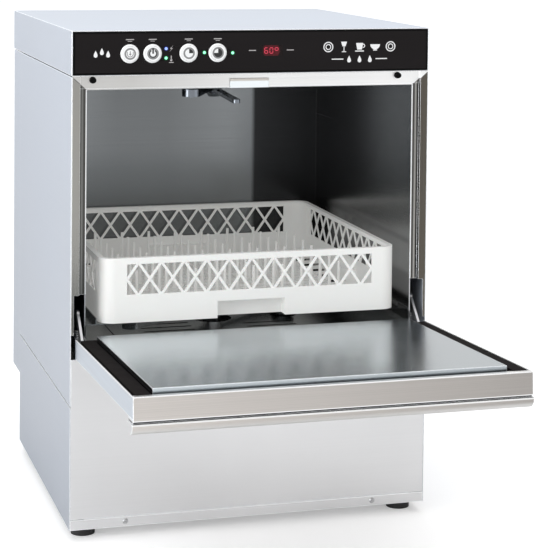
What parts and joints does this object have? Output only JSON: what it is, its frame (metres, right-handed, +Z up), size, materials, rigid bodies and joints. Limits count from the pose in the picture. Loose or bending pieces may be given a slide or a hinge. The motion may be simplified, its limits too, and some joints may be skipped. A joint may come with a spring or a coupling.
{
  "type": "commercial dishwasher",
  "caption": "Undercounter commercial dishwasher with a drop-down front door, a sliding dish rack, spray arms above and below, and a push-button control panel.",
  "frame": {"origin": "floor level, centred on the width of the cabinet and on the depth of its top cover", "axes": "+Z up; -Y is the front, where the door opens; +X is the right side seen from the front"},
  "size_m": [0.6, 1.0368, 0.812],
  "materials": {
    "casing_steel": "fine brushed",
    "door_steel": "satin, brushed across the door",
    "pan_steel": "satin",
    "frame_steel": "satin",
    "chamber_steel": "polished, slightly wavy",
    "arm_steel": "satin",
    "hardware_steel": "zinc plated",
    "boiler_steel": "pickled",
    "element_brass": "plain",
    "motor_paint": "satin paint",
    "pump_plastic": "moulded",
    "drain_plastic": "moulded",
    "doser_plastic": "moulded",
    "hose_rubber": "matt",
    "fascia_black": "semi-gloss film",
    "board_green": "solder mask",
    "display_red": "tinted",
    "lamp_lens": "clear moulded",
    "bezel_white": "moulded",
    "button_white": "moulded",
    "bumper_rubber": "matt",
    "catch_white": "moulded",
    "rack_plastic": "moulded polypropylene",
    "gasket_rubber": "matt",
    "foot_rubber": "matt"
  },
  "bodies": {
    "cabinet": {"base_frame": "frame_steel", "front_frame": "frame_steel", "wash_tank": "chamber_steel", "side_panel_left": "casing_steel", "side_panel_right": "casing_steel", "lower_panel_left": "casing_steel", "lower_panel_right": "casing_steel", "top_cover": "casing_steel", "rear_cover": "casing_steel", "rear_lower_panel": "casing_steel", "front_panel": "casing_steel", "kick_strip": "casing_steel", "panel_screws": "hardware_steel", "rack_guides": "chamber_steel", "sump_filter": "chamber_steel", "standpipe": "chamber_steel", "tank_heater": "boiler_steel", "boiler": "boiler_steel", "boiler_element": "element_brass", "wash_pump_motor": "motor_paint", "wash_pump_volute": "pump_plastic", "drain_pump": "drain_plastic", "drain_hose": "hose_rubber", "dosing_pumps": "doser_plastic", "inlet_valve": "element_brass", "wash_riser": "pump_plastic", "suction_hose": "hose_rubber", "lower_hub": "arm_steel", "upper_hub": "arm_steel", "control_panel": "fascia_black", "control_board": "board_green", "display_window": "display_red", "led_lenses": "lamp_lens", "button_bezels": "bezel_white", "door_bumpers": "bumper_rubber", "spring_anchors": "hardware_steel", "hinge_brackets": "hardware_steel", "hinge_pins": "hardware_steel", "foot_front_left": "foot_rubber", "foot_front_right": "foot_rubber", "foot_rear_left": "foot_rubber", "foot_rear_right": "foot_rubber", "door_springs": "hardware_steel"},
    "door": {"door_skin": "door_steel", "door_inner_pan": "pan_steel", "door_gasket": "gasket_rubber", "door_handle": "door_steel", "hinge_arms": "hardware_steel"},
    "rack": {"dish_rack": "rack_plastic"},
    "lower_wash_arm": {"lower_wash_arm": "arm_steel"},
    "lower_rinse_arm": {"lower_rinse_arm": "arm_steel"},
    "upper_wash_arm": {"upper_wash_arm": "arm_steel"},
    "upper_rinse_arm": {"upper_rinse_arm": "arm_steel"},
    "button_drain": {"button_drain": "button_white"},
    "button_power": {"button_power": "button_white"},
    "button_short_cycle": {"button_short_cycle": "button_white"},
    "button_long_cycle": {"button_long_cycle": "button_white"},
    "pump_rotor": {"pump_rotor": "hardware_steel"},
    "catch": {"door_catch": "catch_white"}
  },
  "joints": [
    {"name": "door_hinge", "type": "hinge", "parent": "cabinet", "child": "door", "pos_m": [0, -0.313, 0.315], "axis": [-1, 0, 0], "range_deg": [0, 87.4], "deforming": ["door_springs"]},
    {"name": "rack_slide", "type": "slide", "parent": "cabinet", "child": "rack", "axis": [0, 1, 0], "range_m": [-0.253, 0]},
    {"name": "lower_wash_arm_spin", "type": "hinge", "parent": "cabinet", "child": "lower_wash_arm", "pos_m": [0, -0.042, 0.31], "axis": [0, 0, 1], "continuous": true},
    {"name": "lower_rinse_arm_spin", "type": "hinge", "parent": "cabinet", "child": "lower_rinse_arm", "pos_m": [0, -0.042, 0.31], "axis": [0, 0, 1], "continuous": true},
    {"name": "upper_wash_arm_spin", "type": "hinge", "parent": "cabinet", "child": "upper_wash_arm", "pos_m": [0, -0.042, 0.7], "axis": [0, 0, 1], "continuous": true},
    {"name": "upper_rinse_arm_spin", "type": "hinge", "parent": "cabinet", "child": "upper_rinse_arm", "pos_m": [0, -0.042, 0.7], "axis": [0, 0, 1], "continuous": true},
    {"name": "button_drain_press", "type": "slide", "parent": "cabinet", "child": "button_drain", "axis": [0, 1, 0], "range_m": [0, 0.002], "stiffness_N_per_m": 400},
    {"name": "button_power_press", "type": "slide", "parent": "cabinet", "child": "button_power", "axis": [0, 1, 0], "range_m": [0, 0.002], "stiffness_N_per_m": 400},
    {"name": "button_short_cycle_press", "type": "slide", "parent": "cabinet", "child": "button_short_cycle", "axis": [0, 1, 0], "range_m": [0, 0.002], "stiffness_N_per_m": 400},
    {"name": "button_long_cycle_press", "type": "slide", "parent": "cabinet", "child": "button_long_cycle", "axis": [0, 1, 0], "range_m": [0, 0.002], "stiffness_N_per_m": 400},
    {"name": "pump_rotor_spin", "type": "hinge", "parent": "cabinet", "child": "pump_rotor", "pos_m": [0.08, 0.04, 0.12], "axis": [1, 0, 0], "continuous": true},
    {"name": "catch_press", "type": "slide", "parent": "cabinet", "child": "catch", "axis": [0, 1, 0], "range_m": [0, 0.0025], "stiffness_N_per_m": 600}
  ]
}
